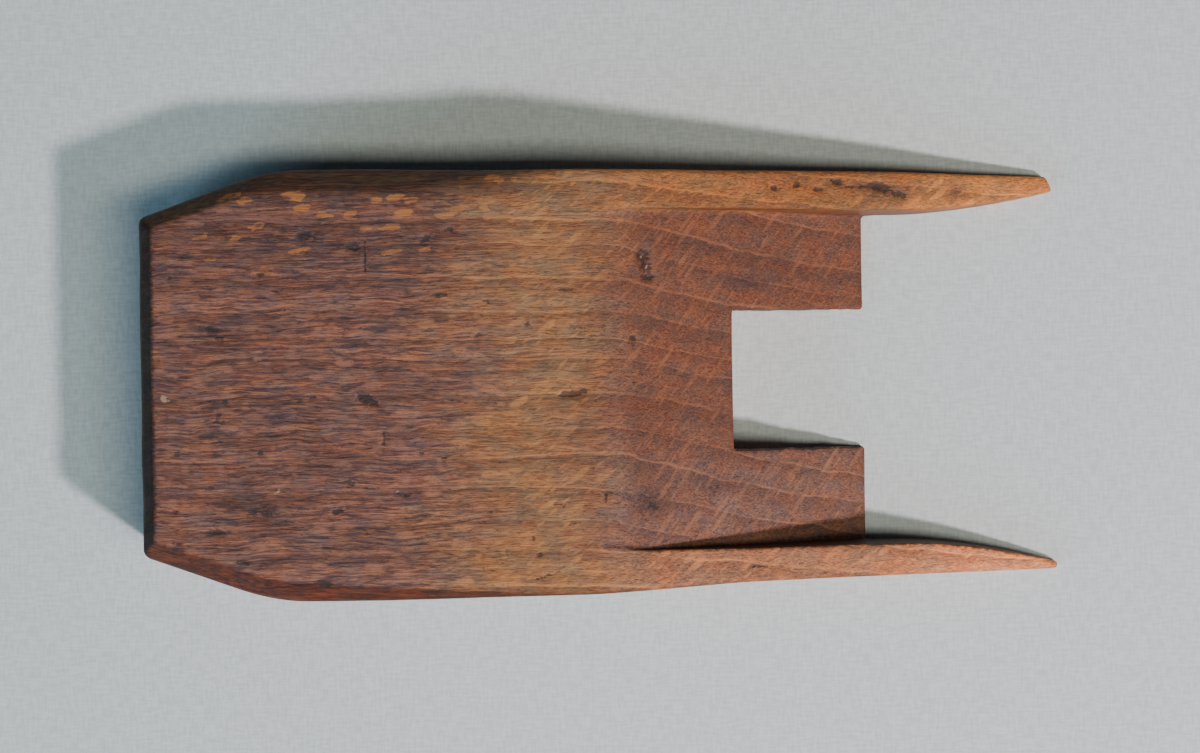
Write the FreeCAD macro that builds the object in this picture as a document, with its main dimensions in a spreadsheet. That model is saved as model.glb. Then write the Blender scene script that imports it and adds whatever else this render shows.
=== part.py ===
"""Wooden wedge of a bench plane with a double iron.

One piece of beech, lying on its flat back. X runs along the grain from the head (-X) to the tips of the
two prongs (+X), Y across the width and +Z away from the back, towards the front face. The origin is on
the back face, in the middle of the length and width.

Every sketch is drawn with its X measured from the end of the head, and the body's placement then brings
the middle of the length to the origin. The working end, tongue and prongs, is measured back from the
tips, because the iron and the plane's throat set it, and the head takes the rest of the length.
"""

import FreeCAD, Part
import math
import os

import Sketcher

NODE = "plane_wedge"

# Driving dimensions in millimetres: alias, value, what it measures.
SIZES = [
    ("overall_length", 122.8, "end of the head to the tips of the prongs"),
    ("head_width", 57.0, "widest, just behind the cut corners"),
    ("thickness", 19.0, "back to front face, over the head"),
    ("corner_length", 17.5, "cut corner of the head, along the wedge"),
    ("corner_width", 5.9, "cut corner of the head, across the wedge"),
    ("side_narrowing", 1.7, "what each side comes in by, from the cut corner to the tip"),
    ("prong_reach", 26.2, "tongue's thin edge to the tips"),
    ("prong_width", 4.4, "outside of a tip to the line of that prong's inner wall"),
    ("curve_length", 15.8, "stretch in which a prong's inner wall curves out to its tip"),
    ("tip_width", 1.6, "blunt end of a prong, across the wedge"),
    ("tip_thickness", 1.6, "blunt end of a prong, back to front"),
    ("tongue_length", 34.8, "break in the front face to the tongue's thin edge"),
    ("tongue_edge", 1.0, "thickness of the tongue's thin edge"),
    ("notch_width", 18.7, "square notch that clears the cap iron's screw"),
    ("notch_depth", 18.3, "notch, in from the tongue's thin edge"),
    ("head_chamfer", 2.1, "arris round the end of the head and its cut corners"),
    ("side_chamfer_width", 2.6, "arris of a long side, measured on the front face"),
    ("side_chamfer_depth", 1.8, "arris of a long side, measured on the side"),
    ("chamfer_runout", 23.0, "stretch in which a side arris runs out to nothing"),
    ("chamfer_stop", 4.8, "end of that run-out to the break in the front face"),
]

# Places and sizes that follow from the driving ones, as expressions on the sheet.
TONGUE_END = "(Sizes.overall_length - Sizes.prong_reach)"
BREAK = f"({TONGUE_END} - Sizes.tongue_length)"
WALL_END = "(Sizes.overall_length - Sizes.curve_length)"
TIP_OUTSIDE = "(Sizes.head_width / 2 - Sizes.side_narrowing)"
WALL = f"({TIP_OUTSIDE} - Sizes.prong_width)"
SIDE_TAPER = "(Sizes.side_narrowing / (Sizes.overall_length - Sizes.corner_length))"
CHAMFER_GONE = f"({BREAK} - Sizes.chamfer_stop)"
CHAMFER_FULL = f"({CHAMFER_GONE} - Sizes.chamfer_runout)"

# Sketcher's own numbers for the two ends of an edge and for the sketch's origin.
START, END = 1, 2
ORIGIN = (-1, 1)


def make_sheet(doc):
    """The driving dimensions, one row each: name, value and meaning."""
    sheet = doc.addObject("Spreadsheet::Sheet", "Sizes")
    for row, (alias, value, meaning) in enumerate(SIZES, start=1):
        sheet.set(f"A{row}", alias)
        sheet.set(f"B{row}", str(value))
        sheet.set(f"C{row}", meaning)
        sheet.setAlias(f"B{row}", alias)
    doc.recompute()
    return sheet


def origin_plane(body, role):
    """One of the body's own origin planes."""
    return next(plane for plane in body.Origin.OriginFeatures if plane.Role == role)


def new_sketch(body, name, role):
    """An empty sketch on one of the body's origin planes."""
    sketch = body.newObject("Sketcher::SketchObject", name)
    sketch.AttachmentSupport = [(origin_plane(body, role), "")]
    sketch.MapMode = "FlatFace"
    return sketch


def tangent_arc(wall_end, tip):
    """The arc that leaves a wall along X at wall_end and ends at tip, as Sketcher keeps it: anticlockwise."""
    along = tip.x - wall_end.x
    out = tip.y - wall_end.y
    signed_radius = (along**2 + out**2) / (2 * out)
    centre = FreeCAD.Vector(wall_end.x, wall_end.y + signed_radius, 0)
    sweep = 2 * math.atan2(abs(out), along)
    first = -math.pi / 2 if out > 0 else math.pi / 2 - sweep
    circle = Part.Circle(centre, FreeCAD.Vector(0, 0, 1), abs(signed_radius))
    return Part.ArcOfCircle(circle, first, first + sweep)


def draw_outline(sketch, sheet, corners, arcs=()):
    """A closed outline with each corner tied to the sheet: (name, x, y), x and y as expressions.

    Edge i runs from corner i to the next. The edges in arcs curve out from a corner named wall_end, and
    as they are drawn against the outline's own direction, their two ends change places.
    """
    points = [FreeCAD.Vector(sheet.evalExpression(x), sheet.evalExpression(y), 0) for _, x, y in corners]
    count = len(corners)
    for edge, point in enumerate(points):
        following = points[(edge + 1) % count]
        if edge in arcs:
            wall_end, tip = sorted((point, following), key=lambda vertex: vertex.x)
            sketch.addGeometry(tangent_arc(wall_end, tip), False)
        else:
            sketch.addGeometry(Part.LineSegment(point, following), False)
    for edge, (name, *place) in enumerate(corners):
        here = (edge, END if edge in arcs else START)
        before = (edge - 1) % count
        arriving = (before, START if before in arcs else END)
        kind = "Tangent" if name.startswith("wall_end") else "Coincident"
        sketch.addConstraint(Sketcher.Constraint(kind, *arriving, *here))
        for distance, expression in zip(("DistanceX", "DistanceY"), place):
            value = sheet.evalExpression(expression)
            label = f"{name}_{distance[-1].lower()}"
            index = sketch.addConstraint(Sketcher.Constraint(distance, *ORIGIN, *here, value))
            sketch.renameConstraint(index, label)
            sketch.setExpression(f"Constraints.{label}", expression)


def pad_plan(body, sheet):
    """The full thickness of the wedge in its plan: head, cut corners, tapering sides and prongs."""
    half = [
        ("end_corner", "0", "Sizes.head_width / 2 - Sizes.corner_width"),
        ("head_corner", "Sizes.corner_length", "Sizes.head_width / 2"),
        ("tip_outside", "Sizes.overall_length", TIP_OUTSIDE),
        ("tip_inside", "Sizes.overall_length", f"{TIP_OUTSIDE} - Sizes.tip_width"),
        ("wall_end", WALL_END, WALL),
        ("tongue_corner", TONGUE_END, WALL),
    ]
    corners = half + [(f"{name}_other", x, f"-({y})") for name, x, y in reversed(half)]
    names = [name for name, _, _ in corners]
    curved = (names.index("tip_inside"), names.index("wall_end_other"))
    plan = new_sketch(body, "Plan", "XY_Plane")
    draw_outline(plan, sheet, corners, curved)
    pad = body.newObject("PartDesign::Pad", "Blank")
    pad.Profile = plan
    pad.setExpression("Length", "Sizes.thickness")
    return pad


def cut_across(body, sheet, name, corners, width=None):
    """Cut a side profile (XZ) out of the wedge, evenly about the middle. No width means right across."""
    profile = new_sketch(body, f"{name}Profile", "XZ_Plane")
    draw_outline(profile, sheet, corners)
    pocket = body.newObject("PartDesign::Pocket", name)
    pocket.Profile = profile
    pocket.SideType = "Symmetric"
    if width is None:
        pocket.Type = "ThroughAll"
    else:
        pocket.setExpression("Length", width)
    return pocket


def cut_slopes(body, sheet):
    """From the break, the front face slopes down to the tips, and steeper down to the tongue's edge."""
    cut_across(body, sheet, "ProngSlope", [
        ("top", BREAK, "Sizes.thickness"),
        ("tip", "Sizes.overall_length", "Sizes.tip_thickness"),
        ("above", "Sizes.overall_length", "Sizes.thickness"),
    ])
    cut_across(body, sheet, "TongueSlope", [
        ("top", BREAK, "Sizes.thickness"),
        ("edge", TONGUE_END, "Sizes.tongue_edge"),
        ("above", TONGUE_END, "Sizes.thickness"),
    ], f"2 * {WALL}")


def cut_notch(body, sheet):
    """The square notch in the tongue, right through."""
    inner = f"{TONGUE_END} - Sizes.notch_depth"
    plan = new_sketch(body, "NotchPlan", "XY_Plane")
    draw_outline(plan, sheet, [
        ("inner_near", inner, "-Sizes.notch_width / 2"),
        ("outer_near", TONGUE_END, "-Sizes.notch_width / 2"),
        ("outer_far", TONGUE_END, "Sizes.notch_width / 2"),
        ("inner_far", inner, "Sizes.notch_width / 2"),
    ])
    pocket = body.newObject("PartDesign::Pocket", "Notch")
    pocket.Profile = plan
    pocket.Type = "ThroughAll"
    pocket.SideType = "Symmetric"


def chamfer_head(body, sheet):
    """Chamfer the front arrises of the head's end and its two cut corners."""
    top = sheet.get("thickness")
    corner = sheet.get("corner_length")
    base = body.Tip

    def is_head_arris(edge):
        middle = edge.CenterOfMass
        return abs(middle.z - top) < 1e-6 and middle.x < corner and edge.BoundBox.XMax < corner + 1e-6

    arrises = [f"Edge{i}" for i, edge in enumerate(base.Shape.Edges, start=1) if is_head_arris(edge)]
    chamfer = body.newObject("PartDesign::Chamfer", "HeadArris")
    chamfer.Base = (base, arrises)
    chamfer.setExpression("Size", "Sizes.head_chamfer")
    return chamfer


def cut_along(body, section, name, travel):
    """Cut a section drawn across the wedge along a straight path: (x, y, z) of its travel, as expressions."""
    pocket = body.newObject("PartDesign::Pocket", name)
    pocket.Profile = section
    pocket.UseCustomVector = True
    pocket.AlongSketchNormal = True
    for axis, expression in zip("xyz", travel):
        pocket.setExpression(f"Direction.{axis}", expression)
    pocket.setExpression("Length", f"abs({travel[0]})")
    return pocket


def chamfer_sides(body, sheet):
    """Chamfer the long sides' front arrises: full width along the head, running out before the break.

    One triangle, drawn across a long side where the run-out starts, is cut back along the side to the end
    of the head, and forwards on a slant that lifts it clear of the arris.
    """
    side = f"(Sizes.head_width / 2 - ({CHAMFER_FULL} - Sizes.corner_length) * {SIDE_TAPER})"
    outer = f"({side} + Sizes.side_chamfer_width / 2)"
    upper = "(Sizes.thickness + Sizes.side_chamfer_depth / 2)"
    section = new_sketch(body, "ArrisSection", "YZ_Plane")
    section.setExpression("AttachmentOffset.Base.z", CHAMFER_FULL)
    draw_outline(section, sheet, [
        ("outside", outer, upper),
        ("on_front", f"{outer} - 2 * Sizes.side_chamfer_width", upper),
        ("on_side", outer, f"{upper} - 2 * Sizes.side_chamfer_depth"),
    ])
    runout = "Sizes.chamfer_runout"
    lift = (runout, f"Sizes.side_chamfer_width / 2 - {runout} * {SIDE_TAPER}", "Sizes.side_chamfer_depth / 2")
    cuts = [
        cut_along(body, section, "SideArris", (f"-{CHAMFER_FULL}", f"{CHAMFER_FULL} * {SIDE_TAPER}", "0")),
        cut_along(body, section, "SideArrisRunout", lift),
    ]
    mirrored = body.newObject("PartDesign::Mirrored", "OtherSideArris")
    mirrored.Originals = cuts
    mirrored.MirrorPlane = (origin_plane(body, "XZ_Plane"), [""])
    body.Tip = mirrored


def make_wedge(doc, sheet):
    """The whole wedge as one body."""
    body = doc.addObject("PartDesign::Body", "PlaneWedge")
    body.Label = NODE
    pad_plan(body, sheet)
    cut_slopes(body, sheet)
    cut_notch(body, sheet)
    doc.recompute()
    chamfer_head(body, sheet)
    chamfer_sides(body, sheet)
    body.setExpression("Placement.Base.x", "-Sizes.overall_length / 2")
    return body


def check(doc, body):
    """Stop if anything failed to build."""
    for item in doc.Objects:
        if {"Invalid", "Error"} & set(item.State):
            raise RuntimeError(f"{item.Name}: {item.State}")
    if body.Shape.isNull() or not body.Shape.isValid() or len(body.Shape.Solids) != 1:
        raise RuntimeError(f"{body.Label} is not one valid solid")


def main():
    doc = FreeCAD.newDocument("PlaneWedge")
    sheet = make_sheet(doc)
    body = make_wedge(doc, sheet)
    doc.recompute()
    check(doc, body)
    os.makedirs("parts", exist_ok=True)
    body.Shape.exportStep(f"parts/{body.Label}.step")
    box = body.Shape.BoundBox
    print(f"{body.Label}: {box.XLength:.2f} x {box.YLength:.2f} x {box.ZLength:.2f} mm,", end=" ")
    print(f"{body.Shape.Volume / 1000:.2f} cm3, {len(body.Shape.Faces)} faces")


main()
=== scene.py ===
"""The looks of a beech plane wedge: one worn piece of wood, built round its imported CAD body.

Sizes in this script are millimetres unless a name says otherwise. Places on the wedge are (x, y, z) with x
measured from the end of the head, y from the middle of the width (left is +Y) and z up from the back face.
"""

import math

import bpy
import numpy as np
import openvdb
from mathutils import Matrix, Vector


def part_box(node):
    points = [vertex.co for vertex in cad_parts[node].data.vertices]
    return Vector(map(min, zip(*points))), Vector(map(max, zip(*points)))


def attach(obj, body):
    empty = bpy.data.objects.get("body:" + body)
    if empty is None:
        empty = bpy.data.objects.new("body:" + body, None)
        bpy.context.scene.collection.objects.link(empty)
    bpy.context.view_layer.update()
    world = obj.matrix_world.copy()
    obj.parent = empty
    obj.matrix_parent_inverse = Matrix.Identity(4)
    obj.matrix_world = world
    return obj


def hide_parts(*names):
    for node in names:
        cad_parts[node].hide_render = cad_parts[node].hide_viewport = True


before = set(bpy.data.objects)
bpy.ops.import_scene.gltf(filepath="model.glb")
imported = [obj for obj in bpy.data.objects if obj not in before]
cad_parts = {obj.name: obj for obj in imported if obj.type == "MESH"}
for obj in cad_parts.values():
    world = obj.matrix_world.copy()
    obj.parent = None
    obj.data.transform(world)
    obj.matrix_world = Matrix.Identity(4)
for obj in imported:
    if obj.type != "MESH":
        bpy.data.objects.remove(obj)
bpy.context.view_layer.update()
NODE = "plane_wedge"
MM = 0.001

low, high = (np.array(corner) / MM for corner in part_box(NODE))
LENGTH, WIDTH, THICKNESS = high - low
HEAD_END = low[0]

# The working end, measured back from the tips, and the slopes of the front face.
TONGUE_END = LENGTH - 26.2
BREAK = TONGUE_END - 34.8
TONGUE_EDGE = 1.0
TIP_THICKNESS = 1.6
PRONG_SLOPE = (THICKNESS - TIP_THICKNESS) / (LENGTH - BREAK)
TONGUE_SLOPE = (THICKNESS - TONGUE_EDGE) / (TONGUE_END - BREAK)
NOTCH_START = TONGUE_END - 18.3
NOTCH_HALF = 9.35
NOTCH_MIDDLE = -0.1

# The cut corners of the head: half width at the head's end, and the cut's direction as (along, across).
CORNER_HALF = 22.35
CORNER_ALONG, CORNER_ACROSS = 0.333, 0.943

# Half widths along the wedge: (distance from the end of the head, distance from the middle).
LEFT_SIDE = [(0, 28.5), (30, 28.4), (44, 28.0), (100, 27.6), (123, 27.0)]
RIGHT_SIDE = [(0, 28.5), (30, 28.5), (60, 28.0), (80, 27.0), (123, 26.6)]
LEFT_WALL = [(61, 21.8), (65, 22.6), (80, 22.6), (101, 22.3)]
RIGHT_WALL = [(61, 21.4), (65, 22.2), (80, 22.4), (101, 22.3)]
# Past here each inner wall curves out to the tip of its prong, by this much in all.
FLARE_START = 101
LEFT_FLARE, RIGHT_FLARE = 2.65, 3.3
# How much the inner walls lean out, per mm down from the front face.
WALL_LEAN = 0.045

# Chamfers of the front arrises: across the head's end, along each cut corner, and along each side.
# A side chamfer is narrower further on, and below zero it has run out.
END_CHAMFER = 2.0
LEFT_CORNER_CHAMFER, RIGHT_CORNER_CHAMFER = 2.2, 2.8
LEFT_CHAMFER = [(0, 3.0), (30, 3.0), (48, 1.4), (70, -1.5)]
RIGHT_CHAMFER = [(0, 3.0), (20, 3.0), (47, 1.0), (70, -1.5)]
DIAGONAL = 0.707
SIDE_CHAMFER_ACROSS, SIDE_CHAMFER_UP = 0.57, 0.82

# Softness of the change of slope in the front face and in the tongue, and how far the tongue's lies behind.
BREAK_SOFTNESS, TONGUE_SOFTNESS = 1.6, 1.1
TONGUE_SETBACK = 0.6

# Spacing of the grid that the surface is drawn from.
CELL = 0.42


def noise(points, cell, seed):
    """Smooth value noise from -1 to 1. cell is the size of its lumps along x, y and z."""
    size = 32
    values = np.random.default_rng(seed).uniform(-1, 1, (size, size, size)).astype(np.float32)
    place = [axis / step for axis, step in zip(points, cell)]
    base = [np.floor(axis).astype(np.int32) for axis in place]
    part = [axis - whole for axis, whole in zip(place, base)]
    part = [f * f * (3 - 2 * f) for f in part]
    total = 0
    for i in (0, 1):
        for j in (0, 1):
            for k in (0, 1):
                share = 1
                for axis, step in enumerate((i, j, k)):
                    share = share * (part[axis] if step else 1 - part[axis])
                corner = [(whole + step) % size for whole, step in zip(base, (i, j, k))]
                total = total + share * values[corner[0], corner[1], corner[2]]
    return total


def curve(x, knots):
    """A smooth line through given knots (distance along, value)."""
    step, reach = 0.5, 3.0
    grid = np.arange(-10, LENGTH + 10, step)
    line = np.interp(grid, *zip(*knots))
    window = np.hanning(int(2 * reach / step) + 1)
    padded = np.pad(line, len(window) // 2, mode="edge")
    return np.interp(x, grid, np.convolve(padded, window / window.sum(), "valid"))


def ramp(x, softness):
    """0 below zero and x above it, with a rounded change."""
    return softness * np.logaddexp(0, x / softness)


def rounded_max(a, b, width):
    """The larger of two fields, with the arris between them rounded over that width."""
    overlap = np.maximum(width - np.abs(a - b), 0) / width
    return np.maximum(a, b) + overlap**2 * width / 4


def front_height(x):
    """Height of the front face over the head and the prongs."""
    return THICKNESS - PRONG_SLOPE * ramp(x - BREAK, BREAK_SOFTNESS)


def tongue_height(x):
    """Height of the tongue's face, cut down more steeply than the prongs."""
    steeper = TONGUE_SLOPE - PRONG_SLOPE
    return front_height(x) - steeper * ramp(x - BREAK - TONGUE_SETBACK, TONGUE_SOFTNESS)


def solid(x, y, z):
    """Below zero inside the wood, about the distance to its surface in mm."""
    rough = noise((x, y, z), (7, 5, 5), 1)
    plan, side, corner = outline(x, y, z)
    body = rounded_max(plan, (z - front_height(x)) * 0.97, 0.75 + 0.3 * rough)
    body = rounded_max(body, -z, 0.6 + 0.25 * rough)
    for chamfer in chamfers(x, y, z, side, corner):
        body = rounded_max(body, chamfer + 0.06 * rough, 0.5 + 0.2 * rough)

    recess, gap, notch = openings(x, y, z, rough)
    body = rounded_max(body, -recess, 0.4 + 0.15 * rough)
    for cut in (gap, notch):
        body = rounded_max(body, -cut, 0.45 + 0.15 * rough)
    return body


def either_side(x, y, left_knots, right_knots):
    """A curve along the wedge that differs between its left and its right."""
    return np.where(y > 0, curve(x, left_knots), curve(x, right_knots))


def outline(x, y, z):
    """The wedge seen from the front, before it is cut open, with its side and cut corner apart."""
    across = np.abs(y)
    side = across - either_side(x, y, LEFT_SIDE, RIGHT_SIDE)
    corner = (across - CORNER_HALF) * CORNER_ACROSS - x * CORNER_ALONG
    end = -x + 0.06 * noise((x, y, z), (6, 4, 4), 2)
    chipped = np.where(y > 0, np.clip(0.5 * (across - 25.2), 0, 1), 0.0)
    tip = x - LENGTH + chipped + 0.06 + 0.06 * noise((x, y, z), (2, 0.7, 0.5), 3)
    plan = rounded_max(side, corner, 1.6)
    plan = rounded_max(plan, end, 1.0)
    return rounded_max(plan, tip, 0.5), side, corner


def chamfers(x, y, z, side, corner):
    """The planes that cut the front arrises: across the end, along the cut corners, along the sides."""
    below_front = z - THICKNESS
    corner_chamfer = np.where(y > 0, LEFT_CORNER_CHAMFER, RIGHT_CORNER_CHAMFER)
    side_chamfer = side + either_side(x, y, LEFT_CHAMFER, RIGHT_CHAMFER)
    return [
        (below_front + END_CHAMFER - x) * DIAGONAL,
        (below_front + corner_chamfer + corner) * DIAGONAL,
        below_front * SIDE_CHAMFER_UP + side_chamfer * SIDE_CHAMFER_ACROSS,
    ]


def openings(x, y, z, rough):
    """What is cut out of the block: the recess over the tongue, the gap between the prongs, the notch."""
    flare = np.clip((x - FLARE_START) / (LENGTH - FLARE_START), 0, 1) ** 1.8
    flare = flare * np.where(y > 0, LEFT_FLARE, RIGHT_FLARE)
    lean = WALL_LEAN * (front_height(x) - z)
    wall = np.abs(y) - either_side(x, y, LEFT_WALL, RIGHT_WALL) - flare + lean
    recess = rounded_max(wall, (tongue_height(x) - z) * 0.9, 0.4)
    gap = rounded_max(wall, TONGUE_END - x + 0.05 * rough, 0.5)
    sawn = noise((x, y, z), (0.9, 3, 4), 4) * np.where(y > 0, 0.07, 0.14)
    notch_side = np.abs(y - NOTCH_MIDDLE) - NOTCH_HALF + sawn
    notch = rounded_max(notch_side, NOTCH_START - x + 0.05 * rough, 0.3)
    return recess, gap, notch


def surface_mesh():
    """Quads over the zero surface of solid(), with every vertex moved on to it in three steps."""
    margin = 3 * CELL
    lows = np.array([-margin, -WIDTH / 2 - margin, -margin])
    highs = np.array([LENGTH + margin, WIDTH / 2 + margin, THICKNESS + margin])
    axes = [np.arange(lo, hi, CELL, dtype=np.float32) for lo, hi in zip(lows, highs)]
    field = solid(*np.meshgrid(*axes, indexing="ij")).astype(np.float32)
    grid = openvdb.FloatGrid(margin)
    grid.copyFromArray(field)
    points, quads = grid.convertToQuads(0.0)
    points = points.astype(np.float64) * CELL + lows
    for _ in range(3):
        value, slope = value_and_slope(points)
        step = value / np.maximum((slope**2).sum(1), 0.2)
        points -= np.clip(step, -CELL, CELL)[:, None] * slope
    return points, quads.astype(np.int64)


def value_and_slope(points):
    """solid() and its gradient at the points, by central differences."""
    reach = 0.05
    value = solid(*points.T)
    slope = np.empty_like(points)
    for axis in range(3):
        offset = np.zeros(3)
        offset[axis] = reach
        slope[:, axis] = (solid(*(points + offset).T) - solid(*(points - offset).T)) / (2 * reach)
    return value, slope


# Marks on the front face: x, y, length, width, turn in degrees, depth, darkness (pale below zero).
MARKS = [
    (30, -2, 3.5, 1.4, -30, 0.40, 0.9),       # gouge in the middle of the head
    (57, -1.5, 5, 0.9, 10, 0.35, 1.0),        # long dent before the break
    (61, -15, 2, 0.6, -75, 0.30, 0.9),        # nicks beside the break
    (65, 5.5, 1.6, 0.6, 0, 0.25, 1.0),
    (63.5, 4, 1.2, 0.6, 0, 0.15, 0.6),
    (30, 16.5, 6, 0.5, 88, 0.12, 0.8),        # lines scored across the grain
    (32, -7.5, 4, 0.6, 86, 0.15, 0.8),
    (22, 19.5, 2.6, 1.5, 10, 0.20, 0.8),      # dents along the left edge of the head
    (28.5, 18, 2, 1.6, 0, 0.20, 0.8),
    (38, 19, 2.4, 1.1, 30, 0.15, 0.7),
    (41, 20, 1.6, 1, 20, 0.15, 0.7),
    (10, 7.5, 3, 1.2, -10, 0.15, 0.8),        # dents in the face of the head
    (16, -16.5, 5, 2.5, 10, 0.12, 0.55),
    (26, -16.5, 2, 1, 15, 0.20, 0.9),
    (10, -19, 3.2, 0.9, 0, 0.20, 0.9),
    (24, -26, 3, 1.2, -10, 0.25, 0.9),        # dent in the right chamfer
    (53, -25.5, 5.5, 0.4, 16, 0.10, 0.7),     # scratches running off the right edge
    (44, -18, 4.5, 0.4, -12, 0.10, 0.6),
    (56, 12, 3.2, 0.5, 6, 0.25, 0.7),         # lifted splinters
    (58, 7, 3.4, 0.7, -16, 0.30, 0.5),
    (66.5, 16.5, 2.2, 1.8, 40, 0.40, 0.8),    # torn pits beside the recess
    (67, 15, 2.4, 1.8, 60, 0.30, 0.7),
    (67, 13.5, 2.2, 1.2, 10, 0.45, 0.8),
    (67, -16.5, 3, 2, 0, 0.05, 0.5),          # stains on the tongue
    (75.5, -14.5, 2.4, 1.2, 20, 0.05, 0.5),
    (82, -25, 4, 0.6, 0, 0.08, 0.7),          # dent in the right prong
    (98.5, 25.5, 3.4, 1.5, -10, 0.30, 1.0),   # dark defect in the left prong
    (101, 24.5, 2.6, 1.2, -15, 0.20, 0.8),
    (3.5, -1.5, 1.8, 1, -60, 0.02, -0.7),     # fleck of old paint
    (15.5, 4.5, 2.2, 0.4, -12, 0.05, -0.6),   # pale scratches
    (18, -14, 1.2, 0.6, 60, 0.05, -0.6),
    (34, -14, 1, 0.5, -50, 0.05, -0.6),
    (66.5, 16.5, 1.6, 0.35, 50, 0.00, -0.6),  # light fibres in the torn pits
    (67, 15, 1.6, 0.35, 70, 0.00, -0.6),
    (67.5, 13.5, 1.2, 0.3, -40, 0.00, -0.5),
]

# Soft bruises and shadowy patches of dirt: x, y, length, width, strength.
BRUISES = [
    (20, -4, 16, 4, 0.40),
    (37, -1, 12, 3, 0.40),
    (11, 7, 8, 3, 0.35),
    (24, 19, 22, 5, 0.35),
    (39, 19, 9, 4, 0.40),
    (15, -16, 9, 5, 0.55),
    (30, -21, 16, 4, 0.35),
    (24, -10, 12, 3, 0.30),
    (67, -16, 4.5, 4, 0.60),
    (76, -14, 8, 2.4, 0.35),
    (80, 13, 7, 2, 0.45),
    (99, 25, 6, 2.2, 0.45),
    (109, 25, 2.5, 1.8, 0.60),
]


def scattered(seed, count, x_range, y_range, lengths, widths, turns, depth=0, darkness=0):
    """Small marks strewn at random over a patch of the face, in the same form as MARKS."""
    pick = np.random.default_rng(seed).uniform
    ranges = (x_range, y_range, lengths, widths, turns)
    return [(*(pick(*limits) for limits in ranges), depth, darkness) for _ in range(count)]


# Lesser dents all over the head, and pits along the left prong.
SMALL_MARKS = [
    *scattered(11, 34, (3, 56), (-26, 22), (1.2, 3.0), (0.6, 1.1), (-12, 16), 0.12, 0.65),
    *scattered(12, 7, (84, 97), (24.2, 26.2), (1.2, 2.2), (0.6, 0.9), (-20, 20), 0.28, 0.9),
]
# Broad ray flecks on the left: by the cut corner, along the edge, further in, and on towards the break.
FLECKS = [
    *scattered(13, 6, (9, 22), (23.2, 25.4), (2.2, 3.8), (0.6, 1.2), (8, 22)),
    *scattered(14, 9, (24, 46), (21.8, 24.8), (1.8, 3.2), (0.6, 1.2), (-5, 14)),
    *scattered(15, 11, (3, 42), (15, 21.5), (2.0, 3.8), (0.5, 0.9), (0, 14)),
    *scattered(16, 8, (46, 66), (25.2, 27.2), (0.8, 2.0), (0.6, 1.1), (-35, 35)),
]


def smooth_step(low_edge, high_edge, x):
    """0 before the first edge, 1 past the second and a smooth change between. The edges may run down."""
    part = np.clip((x - low_edge) / (high_edge - low_edge), 0, 1)
    return part * part * (3 - 2 * part)


def mark_shape(points, mark):
    """How far each point is inside a mark, from 0 outside it to 1 in its middle."""
    x, y, length, width, turn = mark[:5]
    along, across = points[:, 0] - x, points[:, 1] - y
    c, s = math.cos(math.radians(turn)), math.sin(math.radians(turn))
    reach = np.hypot((along * c + across * s) / length, (across * c - along * s) / width) * 2
    reach += 0.22 * noise(points.T, (0.9, 0.6, 0.6), int(10 * x + y))
    return 1 - smooth_step(0.55, 1.25, reach)


def wear(points, normals):
    """Push the surface in where the wood is marked, and give it the slight unevenness of handwork."""
    on_front = smooth_step(0.2, 0.6, normals[:, 2])
    sunk = 0.05 + 0.05 * noise(points.T, (13, 8, 8), 5)
    stain, pale, gold = np.zeros((3, len(points)))
    for mark in [*MARKS, *SMALL_MARKS]:
        shape = mark_shape(points, mark) * on_front
        depth, darkness = mark[5:]
        sunk = sunk + depth * shape
        stain = np.maximum(stain, shape * max(darkness, 0))
        pale = np.maximum(pale, shape * max(-darkness, 0))
    for fleck in FLECKS:
        gold = np.maximum(gold, mark_shape(points, fleck) * on_front)
    return points - normals * sunk[:, None], {"stain": stain, "pale": pale, "gold": gold}


# Tones of the wood, scene-linear. Some are painted shade or painted light, as marked below.
MIDDLE_TONE = (0.254, 0.118, 0.058)
HEAD_TONE = (0.160, 0.073, 0.064)
HEAD_LEFT_TONE = (0.105, 0.050, 0.048)
TONGUE_TONE = (0.152, 0.058, 0.036)
TONGUE_RIGHT_TONE = (0.180, 0.083, 0.062)
LEFT_PRONG_TONE = (0.268, 0.097, 0.031)
RIGHT_PRONG_TONE = (0.335, 0.128, 0.062)
# Tips: painted light, lighter than the prongs, standing in for the side lamp's light on their ends.
LEFT_TIP_LIT_TONE = (0.50, 0.180, 0.054)
RIGHT_TIP_LIT_TONE = (0.70, 0.250, 0.110)
# Left edge: partly dark old finish, partly painted shade, as that side faces away from the lamps.
LEFT_EDGE_FINISH_AND_SHADE_TONE = (0.043, 0.027, 0.017)
RIGHT_EDGE_TONE = (0.078, 0.019, 0.009)
# End chamfer: partly dark old finish, partly painted shade.
END_CHAMFER_FINISH_AND_SHADE_TONE = (0.013, 0.005, 0.002)
END_GRAIN_TONE = (0.090, 0.042, 0.026)
BACK_TONE = (0.15, 0.075, 0.045)
# Painted shade for the inner walls that face away from the side lamp.
INNER_WALL_SHADE_TONE = (0.030, 0.013, 0.008)
BRUISE_TONE = (0.036, 0.024, 0.030)


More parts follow.
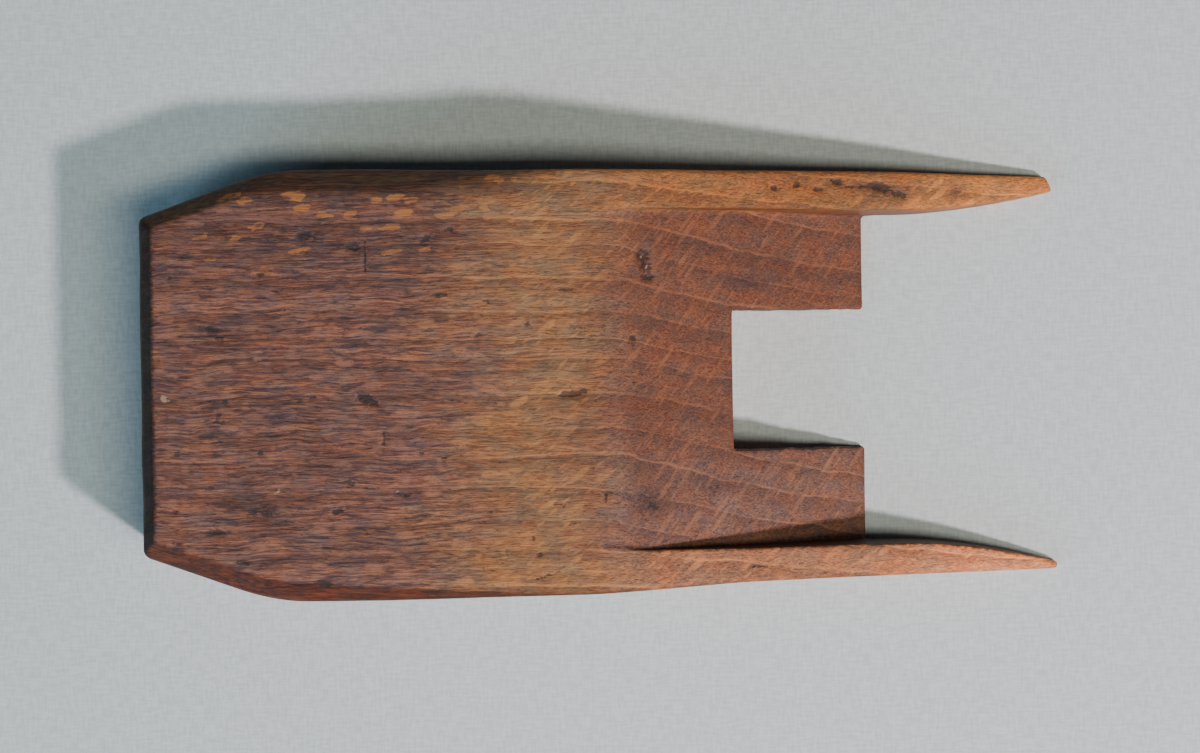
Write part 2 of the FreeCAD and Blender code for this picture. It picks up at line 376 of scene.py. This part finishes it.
def patina_shade_and_light(points, normals):
    """The wood's tone from place to place: the handled head, the cleaner middle, tongue and prongs; also
    painted shade on the head's chamfers, its end chamfer and the inner walls, and painted light toward the
    tips.
    """
    x, y = points.T[:2]
    facing_end, facing_left, facing_up = normals.T
    across = np.abs(y)
    tone = np.ones((len(points), 3)) * MIDDLE_TONE

    def blend(amount, colour):
        tone[:] += amount[:, None] * (np.array(colour) - tone)

    drift = 4.0 * noise(points.T, (9, 6, 6), 6)
    head = 1 - smooth_step(32, 53, x + 1.4 * drift)
    blend(head, HEAD_TONE)
    blend(0.45 * head * smooth_step(6, 24, y), HEAD_LEFT_TONE)

    inner = 1 - smooth_step(22.0, 22.8, across)
    tongue = smooth_step(BREAK - 8, BREAK + 7, x + drift) * inner
    blend(tongue, TONGUE_TONE)
    blend(tongue * smooth_step(-4, -16, y), TONGUE_RIGHT_TONE)

    prong = smooth_step(BREAK - 6, BREAK + 8, x) * (1 - inner)
    # Painted light: the prongs are made lighter toward their tips.
    tips = smooth_step(95, 116, x)
    left = smooth_step(-4, 4, y)
    right = smooth_step(4, -4, y)
    blend(prong * left, LEFT_PRONG_TONE)
    blend(prong * right, RIGHT_PRONG_TONE)
    blend(prong * tips * left, LEFT_TIP_LIT_TONE)
    blend(prong * tips * right, RIGHT_TIP_LIT_TONE)

    # The head's chamfers and sides are darkened: partly dark old finish, partly painted shade, so the left
    # side, facing away from the lamps, goes darker than the right.
    edge = np.maximum(smooth_step(22.5, 27, y), smooth_step(0.97, 0.85, facing_up))
    blend(0.82 * edge * (1 - smooth_step(40, 62, x)) * smooth_step(0, 1, y), LEFT_EDGE_FINISH_AND_SHADE_TONE)
    blend(0.90 * edge * (1 - smooth_step(46, 80, x)) * smooth_step(0, -1, y), RIGHT_EDGE_TONE)
    # The chamfer across the head's end, facing away from the side lamp, is made near black: partly dark
    # finish, partly painted shade.
    blend(0.97 * smooth_step(-0.25, -0.5, facing_end), END_CHAMFER_FINISH_AND_SHADE_TONE)
    blend(0.80 * smooth_step(-0.85, -0.97, facing_end), END_GRAIN_TONE)
    blend(0.6 * smooth_step(0.2, -0.6, facing_up), BACK_TONE)
    # Painted shade: past the break, the inner walls facing +Y, away from the side lamp, are darkened nearly
    # to black.
    wall = smooth_step(0.5, 0.85, facing_left) * smooth_step(BREAK, BREAK + 4, x)
    blend(0.9 * wall * smooth_step(25.5, 24.5, across), INNER_WALL_SHADE_TONE)
    for along, aside, length, width, strength in BRUISES:
        away = ((x - along) / length) ** 2 + ((y - aside) / width) ** 2
        blend(strength * np.exp(-3 * away) * (facing_up > 0), BRUISE_TONE)
    return tone


class Graph:
    """Builds shader nodes from plain calls."""

    def __init__(self, tree):
        self.tree = tree

    def add(self, kind, inputs=(), **settings):
        node = self.tree.nodes.new(kind)
        for name, setting in settings.items():
            setattr(node, name, setting)
        for key, source in dict(inputs).items():
            if isinstance(source, bpy.types.NodeSocket):
                self.tree.links.new(source, node.inputs[key])
            else:
                node.inputs[key].default_value = source
        return node

    def math(self, operation, *values):
        return self.add("ShaderNodeMath", enumerate(values), operation=operation).outputs[0]

    def times(self, first, second):
        return self.math("MULTIPLY", first, second)

    def times_plus(self, first, second, more):
        return self.math("MULTIPLY_ADD", first, second, more)

    def scaled(self, vector, scale):
        """A vector times a fixed scale along each axis."""
        return self.add("ShaderNodeVectorMath", {0: vector, 1: scale}, operation="MULTIPLY").outputs[0]

    def moved(self, vector, offset):
        return self.add("ShaderNodeVectorMath", {0: vector, 1: offset}).outputs[0]

    def joined(self, **axes):
        """A vector made of numbers along X, Y and Z."""
        return self.add("ShaderNodeCombineXYZ", axes).outputs[0]

    def along(self, vector, direction):
        """How far a vector reaches along a direction."""
        node = self.add("ShaderNodeVectorMath", {0: vector, 1: direction}, operation="DOT_PRODUCT")
        return node.outputs["Value"]

    def noise(self, vector, detail=2.0, rough=0.5, kind="3D"):
        inputs = {"Detail": detail, "Roughness": rough, "Scale": 1.0}
        inputs["W" if kind == "1D" else "Vector"] = vector
        return self.add("ShaderNodeTexNoise", inputs, noise_dimensions=kind).outputs["Fac"]

    def step(self, value, low_edge, high_edge, to_low=0.0, to_high=1.0):
        """A smooth change from one number to another between two edges."""
        inputs = {"Value": value, "From Min": low_edge, "From Max": high_edge}
        inputs |= {"To Min": to_low, "To Max": to_high}
        return self.add("ShaderNodeMapRange", inputs, interpolation_type="SMOOTHSTEP").outputs[0]

    def mix(self, amount, first, second, blend="MIX"):
        node = self.add("ShaderNodeMix", data_type="RGBA", blend_type=blend)
        for key, source in zip(("Factor_Float", "A_Color", "B_Color"), (amount, first, second)):
            socket = next(s for s in node.inputs if s.identifier == key)
            if isinstance(source, bpy.types.NodeSocket):
                self.tree.links.new(source, socket)
            else:
                socket.default_value = source if key == "Factor_Float" else (*source, 1)
        return next(s for s in node.outputs if s.identifier == "Result_Color")

    def tinted(self, colour, amount, low_tint, high_tint):
        """A colour times a tint that goes from one to another with the amount."""
        return self.mix(1.0, colour, self.mix(amount, low_tint, high_tint), "MULTIPLY")

    def attribute(self, name):
        return self.add("ShaderNodeAttribute", attribute_name=name).outputs


# How the log lay in the wedge: growth rings are crossed along RADIAL, rays are thin along TANGENTIAL.
RADIAL = (0.0, 0.927, -0.375)
TANGENTIAL = (0.0, 0.375, 0.927)
RING_WIDTH = 3.75

LATE_WOOD = (0.060, 0.022, 0.015)
CHECK_COLOUR = (0.030, 0.015, 0.013)
PORE_COLOUR = (0.028, 0.012, 0.009)
GRIME_COLOUR = (0.036, 0.024, 0.027)
GOLD_COLOUR = (0.43, 0.155, 0.045)
STAIN_COLOUR = (0.019, 0.018, 0.021)
PALE_COLOUR = (0.40, 0.27, 0.17)


def growth_rings(graph, place):
    """Distance across the rings in mm, and where there is dark late wood or a light early line."""
    sway = graph.noise(graph.scaled(place, (0.020, 0.05, 0.05)), 1.5)
    ripple = graph.noise(graph.scaled(place, (0.11, 0.3, 0.3)), 2.0)
    across = graph.times_plus(sway, 3.0, graph.along(place, RADIAL))
    across = graph.times_plus(ripple, 1.5, across)
    uneven = graph.noise(graph.times(across, 0.11), 1.0, kind="1D")
    ring = graph.times_plus(across, 1 / RING_WIDTH, graph.times(uneven, 1.6))
    phase = graph.math("FRACT", ring)
    late_wood = graph.times(graph.step(phase, 0.35, 0.97), graph.step(phase, 1.0, 0.97))
    early_line = graph.times(graph.step(phase, 0.085, 0.025), graph.step(phase, 0.0, 0.015))
    broken = graph.noise(graph.scaled(place, (0.09, 0.25, 0.25)), 2.0)
    early_line = graph.times(early_line, graph.step(broken, 0.35, 0.60, 0.15, 1.0))
    return across, late_wood, early_line


def rays(graph, place, size, seed):
    """Where thin plates of ray tissue lie. size is theirs along the grain, across the rings and through."""
    where = graph.moved(graph.scaled(place, tuple(1 / side for side in size)), (seed,) * 3)
    cells = graph.add("ShaderNodeTexVoronoi", {"Vector": where, "Scale": 1.0})
    strength = graph.add("ShaderNodeSeparateColor", {0: cells.outputs["Color"]}).outputs[0]
    shape = graph.step(cells.outputs["Distance"], 0.45, 0.25)
    return graph.times(shape, graph.math("POWER", strength, 2.0))


def beech():
    """Aged beech: rings, rays, fibres and pores fixed in the solid, under a handled, worn tone that also
    carries painted shade and light.
    """
    material = bpy.data.materials.new("aged_beech")
    material.use_nodes = True
    tree = material.node_tree
    graph = Graph(tree)
    shader = tree.nodes["Principled BSDF"]

    place = graph.add("ShaderNodeTexCoord").outputs["Object"]
    place = graph.scaled(place, (1 / MM,) * 3)
    x_place = graph.along(place, (1, 0, 0))
    handled = graph.step(x_place, -10.0, -26.0)
    across_rings, late_wood, early_line = growth_rings(graph, place)

    # The rays dip where the front face starts to slope.
    dip = graph.times(graph.step(x_place, -14.0, 1.0), -2.6)
    through = graph.math("ADD", graph.along(place, TANGENTIAL), dip)
    ray_place = graph.joined(X=x_place, Y=across_rings, Z=through)
    broad_rays = rays(graph, ray_place, (3.8, 22.0, 0.55), 0.0)
    fine_rays = rays(graph, ray_place, (1.6, 9.0, 0.24), 5.5)

    # Fibres and what follows them, a little wavy.
    wave = graph.noise(graph.scaled(place, (0.16, 0.12, 0.12)), 1.5)
    waved = graph.moved(place, graph.joined(Y=graph.times(wave, 1.1)))
    streaks = graph.noise(graph.scaled(waved, (0.13, 2.6, 2.6)), 5.0, 0.66)
    fibres = graph.noise(graph.scaled(waved, (0.55, 5.5, 5.5)), 3.0, 0.65)
    contour = graph.noise(graph.scaled(waved, (0.07, 0.75, 0.75)), 2.0, 0.5)
    off_contour = graph.math("ABSOLUTE", graph.math("SUBTRACT", contour, 0.5))
    checks = graph.step(off_contour, 0.022, 0.004)
    pores = graph.noise(graph.scaled(place, (1.6, 7.5, 7.5)), 2.0, 0.6)
    pores = graph.step(pores, 0.58, 0.70)
    grime = graph.noise(graph.scaled(waved, (0.22, 0.95, 0.95)), 5.0, 0.66)
    grime = graph.times(graph.step(grime, 0.53, 0.66), graph.times_plus(handled, 0.55, 0.15))

    # Patina, with the painted shade and light that come with it, made uneven by blotches, streaks, hue and
    # fibres.
    patina_shade_and_light_here = graph.attribute("patina_shade_and_light")["Color"]
    blotch = graph.noise(graph.scaled(place, (0.05, 0.16, 0.16)), 3.0, 0.6)
    colour = graph.tinted(patina_shade_and_light_here, blotch, (0.72, 0.68, 0.70), (1.30, 1.34, 1.32))
    streaky = graph.times_plus(graph.step(x_place, -28.0, -8.0), -0.50, 0.80)
    streaked = graph.tinted(colour, graph.step(streaks, 0.36, 0.64), (0.50, 0.49, 0.60), (1.80, 1.62, 1.05))
    colour = graph.mix(streaky, colour, streaked)
    hue = graph.noise(graph.scaled(place, (0.22, 0.42, 0.42)), 3.0, 0.6)
    colour = graph.tinted(colour, graph.step(hue, 0.35, 0.65), (0.84, 0.98, 1.12), (1.16, 1.00, 0.86))
    colour = graph.tinted(colour, graph.step(fibres, 0.32, 0.68), (0.70, 0.66, 0.66), (1.34, 1.36, 1.36))

    # Rings and rays, then what is darker than the wood.
    light_grain = graph.mix(1.0, patina_shade_and_light_here, (2.2, 1.95, 1.35), "MULTIPLY")
    lines_shown = graph.step(x_place, -26.0, -12.0, 0.45, 0.62)
    rays_shown = graph.step(x_place, 6.0, -22.0, 0.50, 0.62)
    colour = graph.mix(graph.times(late_wood, 0.34), colour, LATE_WOOD)
    colour = graph.mix(graph.times(early_line, lines_shown), colour, light_grain)
    colour = graph.mix(graph.times(broad_rays, rays_shown), colour, light_grain)
    colour = graph.mix(graph.times(fine_rays, 0.45), colour, light_grain)
    checks_shown = graph.times(checks, graph.times_plus(handled, 0.28, 0.10))
    colour = graph.mix(checks_shown, colour, CHECK_COLOUR)
    colour = graph.mix(graph.times(pores, 0.42), colour, PORE_COLOUR)
    colour = graph.mix(grime, colour, GRIME_COLOUR)

    ragged = graph.noise(graph.scaled(place, (1.4, 2.6, 2.6)), 3.0, 0.6)

    def torn_edge(name):
        """A painted amount with its soft outline broken up by the grain."""
        painted = graph.attribute(name)["Fac"]
        amount = graph.times_plus(ragged, 1.4, graph.times(painted, 0.9))
        return graph.times(graph.step(amount, 1.02, 1.32), graph.step(painted, 0.05, 0.35))

    stain = torn_edge("stain")
    gold = graph.times(torn_edge("gold"), graph.step(streaks, 0.34, 0.62, 0.15, 0.80))
    colour = graph.mix(gold, colour, GOLD_COLOUR)
    colour = graph.mix(graph.times(stain, 0.72), colour, STAIN_COLOUR)
    colour = graph.mix(graph.times(torn_edge("pale"), 0.65), colour, PALE_COLOUR)
    tree.links.new(colour, shader.inputs["Base Color"])

    roughness = graph.times_plus(fibres, 0.25, 0.40)
    tree.links.new(graph.times_plus(stain, 0.15, roughness), shader.inputs["Roughness"])
    shader.inputs["Specular IOR Level"].default_value = 0.20

    relief = graph.times_plus(fibres, 0.07, graph.times(pores, -0.04))
    relief = graph.times_plus(streaks, 0.07, relief)
    relief = graph.times_plus(checks, -0.03, relief)
    bump = graph.add("ShaderNodeBump", {"Strength": 0.9, "Distance": MM, "Height": relief})
    tree.links.new(bump.outputs[0], shader.inputs["Normal"])
    return material


def build_wedge():
    """The whole wedge as one piece, inside its CAD box."""
    points, quads = surface_mesh()
    slope = value_and_slope(points)[1]
    normals = slope / np.linalg.norm(slope, axis=1, keepdims=True)
    tone = patina_shade_and_light(points, normals)
    points, layers = wear(points, normals)
    points = np.clip(points, (0, -WIDTH / 2, 0), (LENGTH, WIDTH / 2, THICKNESS))
    points[:, 0] += HEAD_END

    mesh = bpy.data.meshes.new("wedge")
    mesh.from_pydata((points * MM).tolist(), [], quads[:, ::-1].tolist())
    mesh.polygons.foreach_set("use_smooth", np.ones(len(quads), bool))
    colours = mesh.color_attributes.new("patina_shade_and_light", "FLOAT_COLOR", "POINT")
    colours.data.foreach_set("color", np.c_[tone, np.ones(len(tone))].astype(np.float32).ravel())
    for name, amount in layers.items():
        layer = mesh.attributes.new(name, "FLOAT", "POINT")
        layer.data.foreach_set("value", amount.astype(np.float32))
    mesh.materials.append(beech())
    wedge = bpy.data.objects.new("wedge", mesh)
    bpy.context.scene.collection.objects.link(wedge)
    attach(wedge, "root")
    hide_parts(NODE)


def build_floor():
    """A plain pale sheet under the wedge, finely woven, in metres."""
    half = 1.5
    mesh = bpy.data.meshes.new("floor")
    corners = [(-half, -half, 0), (half, -half, 0), (half, half, 0), (-half, half, 0)]
    mesh.from_pydata(corners, [], [(0, 1, 2, 3)])
    material = bpy.data.materials.new("pale_paper")
    material.use_nodes = True
    graph = Graph(material.node_tree)
    shader = material.node_tree.nodes["Principled BSDF"]
    place = graph.add("ShaderNodeTexCoord").outputs["Object"]
    weft = graph.noise(graph.scaled(place, (500, 2600, 500)), 2.0, 0.6)
    warp = graph.noise(graph.scaled(place, (2600, 500, 500)), 2.0, 0.6)
    weave = graph.times_plus(weft, 0.5, graph.times(warp, 0.5))
    colour = graph.mix(graph.step(weave, 0.35, 0.65), (0.535, 0.54, 0.535), (0.665, 0.665, 0.66))
    material.node_tree.links.new(colour, shader.inputs["Base Color"])
    shader.inputs["Roughness"].default_value = 0.9
    mesh.materials.append(material)
    floor = bpy.data.objects.new("floor", mesh)
    bpy.context.scene.collection.objects.link(floor)


def add_lamp(name, kind, place, target, **settings):
    """A lamp at a place in metres, pointing at its target."""
    lamp = bpy.data.lights.new(name, kind)
    for setting, value in settings.items():
        setattr(lamp, setting, value)
    holder = bpy.data.objects.new(name, lamp)
    holder.location = place
    holder.rotation_euler = (Vector(place) - Vector(target)).to_track_quat("Z", "Y").to_euler()
    bpy.context.scene.collection.objects.link(holder)


def build_lights():
    """A small lamp above on the right, a long ceiling light, and bluish daylight from low on the left."""
    add_lamp(
        "side_lamp", "SPOT", (0.515, -0.425, 0.70), (0.115, -0.09, 0),
        energy=40, color=(1.0, 0.95, 1.02), shadow_soft_size=0.042,
        spot_size=math.radians(46), spot_blend=1.0,
    )
    add_lamp(
        "ceiling_light", "AREA", (0.69, -0.42, 2.0), (0.69, -0.42, 0),
        energy=22, color=(0.98, 1.05, 0.90), shape="RECTANGLE", size=1.10, size_y=0.38,
    )
    add_lamp(
        "window", "AREA", (-0.65, -0.38, 0.30), (0, 0, 0),
        energy=2.6, color=(0.55, 1.05, 1.45), shape="SQUARE", size=0.4,
    )

    world = bpy.data.worlds.new("studio")
    world.use_nodes = True
    background = world.node_tree.nodes["Background"]
    background.inputs["Color"].default_value = (0.022, 0.03, 0.036, 1)
    background.inputs["Strength"].default_value = 1.0
    bpy.context.scene.world = world


def build_camera():
    """Straight above the wedge, turned so that the wedge lies slightly askew in the picture."""
    height = 0.400
    view_width = 0.16475
    turn = math.radians(0.87)
    camera = bpy.data.cameras.new("camera")
    camera.sensor_width = 36.0
    camera.lens = camera.sensor_width * height / view_width
    holder = bpy.data.objects.new("camera", camera)
    holder.location = (-0.0009, 0.0006, height)
    holder.rotation_euler = (0, 0, -turn)
    bpy.context.scene.collection.objects.link(holder)
    bpy.context.scene.camera = holder


build_wedge()
build_floor()
build_lights()
build_camera()
